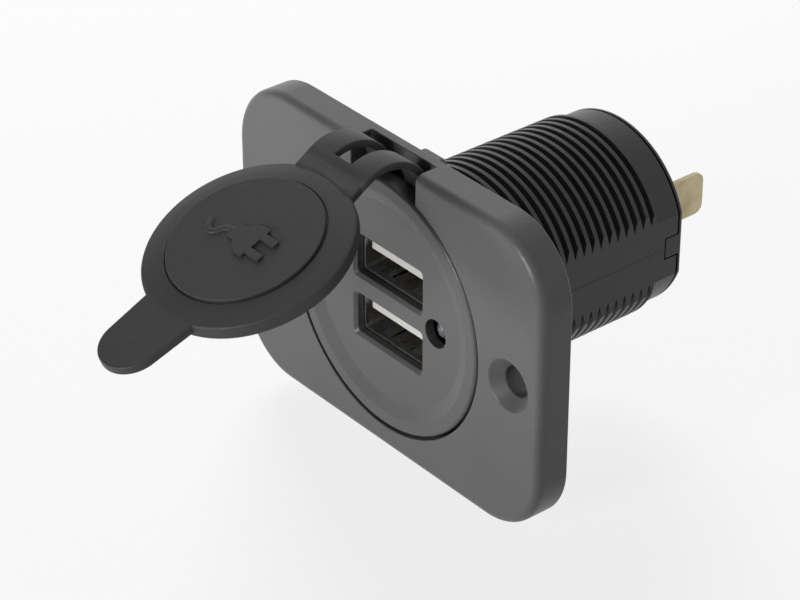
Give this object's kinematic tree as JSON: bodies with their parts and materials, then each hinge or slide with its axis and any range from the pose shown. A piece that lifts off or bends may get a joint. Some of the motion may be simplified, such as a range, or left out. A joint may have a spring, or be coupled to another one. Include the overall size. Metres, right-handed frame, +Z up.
{
  "type": "panel mount usb charger socket",
  "caption": "Flush panel charger socket: rectangular flange, round face with USB power ports and a status light, threaded body, push-on blades and a rubber cap on a flexible strap.",
  "frame": {"origin": "centre of the flange's back face, midway between its screw holes", "axes": "+X to the right seen from the front, +Y into the panel along the threaded body, +Z up towards the cap's strap"},
  "size_m": [0.061, 0.0955, 0.0465],
  "materials": {
    "plate_plastic": "satin moulded plastic",
    "face_plastic": "satin moulded plastic",
    "body_plastic": "satin moulded plastic",
    "rubber": "matt soft rubber",
    "plated_steel": "bright nickel plate",
    "white_plastic": "plain moulded plastic",
    "contact_metal": "gold flash",
    "lamp_resin": "clear resin",
    "tinned_wire": "tinned",
    "board_laminate": "solder mask",
    "chip_resin": "moulded resin",
    "fuse_resin": "moulded resin",
    "can_metal": "drawn can",
    "ferrite": "sintered",
    "copper_wire": "enamelled wire",
    "blade_brass": "pale plated brass"
  },
  "bodies": {
    "socket": {"blade_negative": "blade_brass", "blade_positive": "blade_brass", "cap_ring": "rubber", "cap_strap": "rubber", "charge_chip": "chip_resin", "chip_resistors": "chip_resin", "choke_core": "ferrite", "choke_winding": "copper_wire", "converter_chip": "chip_resin", "face_insert": "face_plastic", "header_base": "chip_resin", "header_pin_row": "contact_metal", "input_capacitor": "can_metal", "input_fuse": "fuse_resin", "light_leads": "tinned_wire", "mounting_plate": "plate_plastic", "output_capacitor": "can_metal", "port_board": "board_laminate", "port_contacts_lower": "contact_metal", "port_contacts_upper": "contact_metal", "port_insulator_lower": "white_plastic", "port_insulator_upper": "white_plastic", "power_board": "board_laminate", "rear_cover": "body_plastic", "rectifier_diode": "chip_resin", "socket_body": "body_plastic", "status_light": "lamp_resin", "usb_shell_lower": "plated_steel", "usb_shell_upper": "plated_steel"},
    "cap": {"cap": "rubber"}
  },
  "joints": [
    {"name": "cap_bend", "type": "hinge", "parent": "socket", "child": "cap", "pos_m": [0, -0.0037, 0.0232], "axis": [1, 0, 0], "range_deg": [-45, 68.8], "stiffness_Nm_per_rad": 0.012, "springref_deg": -1.89, "deforming": ["cap_strap"]}
  ]
}
